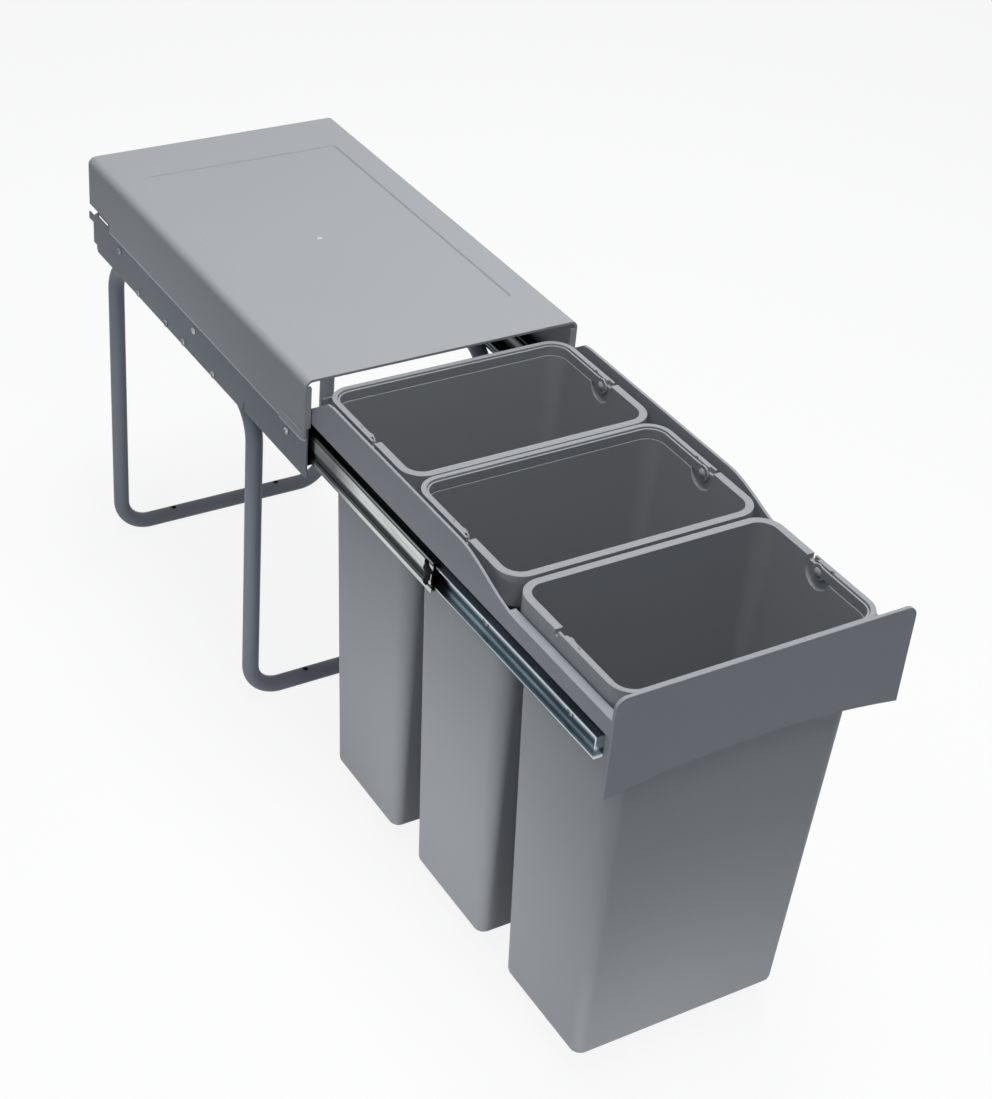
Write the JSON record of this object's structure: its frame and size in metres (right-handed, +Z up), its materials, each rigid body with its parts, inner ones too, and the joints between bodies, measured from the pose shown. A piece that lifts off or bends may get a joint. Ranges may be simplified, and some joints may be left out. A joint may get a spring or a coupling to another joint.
{
  "type": "pull out trash cabinet unit",
  "caption": "Pull-out waste unit for a narrow cabinet: lift-out bins with bail handles in a carriage on ball-bearing runners, under a fixed hood on bent tube legs.",
  "frame": {"origin": "centre of the four floor screw holes, at floor level", "axes": "+X across the unit, to the right seen from the front; -Y out of the cabinet, the way the carriage runs; +Z up"},
  "size_m": [0.2544, 0.8859, 0.397],
  "materials": {
    "grey_plastic": "satin moulded, fine texture",
    "bin_plastic": "satin moulded",
    "handle_plastic": "satin moulded",
    "painted_tube": "satin powder coat",
    "painted_sheet": "satin powder coat",
    "zinc_runner": "bright zinc plate",
    "bright_runner": "bright zinc plate",
    "cage_steel": "plain pressed steel",
    "ball_steel": "polished",
    "black_plastic": "satin moulded",
    "screw_zinc": "bright zinc plate"
  },
  "bodies": {
    "frame_and_cover": {"rear_leg": "painted_tube", "front_leg": "painted_tube", "left_rail": "painted_sheet", "right_rail": "painted_sheet", "cover": "grey_plastic", "left_outer_runner": "zinc_runner", "right_outer_runner": "zinc_runner", "rail_screws": "screw_zinc", "leg_screws": "screw_zinc"},
    "carriage": {"carriage": "grey_plastic", "front_panel": "grey_plastic", "left_inner_runner": "zinc_runner", "right_inner_runner": "zinc_runner", "runner_screws": "screw_zinc", "panel_screws": "screw_zinc"},
    "left_middle_runner": {"left_middle_runner": "bright_runner", "left_runner_stop": "black_plastic"},
    "left_outer_cage": {"left_outer_cage": "cage_steel", "left_outer_balls": "ball_steel"},
    "left_inner_cage": {"left_inner_cage": "cage_steel", "left_inner_balls": "ball_steel"},
    "right_middle_runner": {"right_middle_runner": "bright_runner", "right_runner_stop": "black_plastic"},
    "right_outer_cage": {"right_outer_cage": "cage_steel", "right_outer_balls": "ball_steel"},
    "right_inner_cage": {"right_inner_cage": "cage_steel", "right_inner_balls": "ball_steel"},
    "rear_bin": {"rear_bin": "bin_plastic", "rear_bin_pivots": "handle_plastic"},
    "rear_handle": {"rear_handle": "handle_plastic"},
    "middle_bin": {"middle_bin": "bin_plastic", "middle_bin_pivots": "handle_plastic"},
    "middle_handle": {"middle_handle": "handle_plastic"},
    "front_bin": {"front_bin": "bin_plastic", "front_bin_pivots": "handle_plastic"},
    "front_handle": {"front_handle": "handle_plastic"}
  },
  "joints": [
    {"name": "carriage_slide", "type": "slide", "parent": "frame_and_cover", "child": "carriage", "axis": [0, -1, 0], "range_m": [-0.4319, 0]},
    {"name": "left_middle_runner_slide", "type": "slide", "parent": "frame_and_cover", "child": "left_middle_runner", "axis": [0, -1, 0], "range_m": [-0.216, 0]},
    {"name": "left_outer_cage_slide", "type": "slide", "parent": "frame_and_cover", "child": "left_outer_cage", "axis": [0, -1, 0], "range_m": [-0.108, 0]},
    {"name": "left_inner_cage_slide", "type": "slide", "parent": "frame_and_cover", "child": "left_inner_cage", "axis": [0, -1, 0], "range_m": [-0.324, 0]},
    {"name": "right_middle_runner_slide", "type": "slide", "parent": "frame_and_cover", "child": "right_middle_runner", "axis": [0, -1, 0], "range_m": [-0.216, 0]},
    {"name": "right_outer_cage_slide", "type": "slide", "parent": "frame_and_cover", "child": "right_outer_cage", "axis": [0, -1, 0], "range_m": [-0.108, 0]},
    {"name": "right_inner_cage_slide", "type": "slide", "parent": "frame_and_cover", "child": "right_inner_cage", "axis": [0, -1, 0], "range_m": [-0.324, 0]},
    {"name": "rear_bin_lift", "type": "slide", "parent": "carriage", "child": "rear_bin", "axis": [0, 0, 1], "range_m": [0, 0.385]},
    {"name": "middle_bin_lift", "type": "slide", "parent": "carriage", "child": "middle_bin", "axis": [0, 0, 1], "range_m": [0, 0.385]},
    {"name": "front_bin_lift", "type": "slide", "parent": "carriage", "child": "front_bin", "axis": [0, 0, 1], "range_m": [0, 0.385]},
    {"name": "rear_handle_hinge", "type": "hinge", "parent": "rear_bin", "child": "rear_handle", "pos_m": [0, -0.33115, 0.3777], "axis": [1, 0, 0], "range_deg": [0, 120]},
    {"name": "middle_handle_hinge", "type": "hinge", "parent": "middle_bin", "child": "middle_handle", "pos_m": [0, -0.47265, 0.3777], "axis": [1, 0, 0], "range_deg": [0, 120]},
    {"name": "front_handle_hinge", "type": "hinge", "parent": "front_bin", "child": "front_handle", "pos_m": [0, -0.61655, 0.3777], "axis": [-1, 0, 0], "range_deg": [0, 120]}
  ],
  "couplings": [
    {"joint": "left_middle_runner_slide", "follows": "carriage_slide", "ratio": 0.5},
    {"joint": "left_outer_cage_slide", "follows": "carriage_slide", "ratio": 0.25},
    {"joint": "left_inner_cage_slide", "follows": "carriage_slide", "ratio": 0.75},
    {"joint": "right_middle_runner_slide", "follows": "carriage_slide", "ratio": 0.5},
    {"joint": "right_outer_cage_slide", "follows": "carriage_slide", "ratio": 0.25},
    {"joint": "right_inner_cage_slide", "follows": "carriage_slide", "ratio": 0.75}
  ]
}
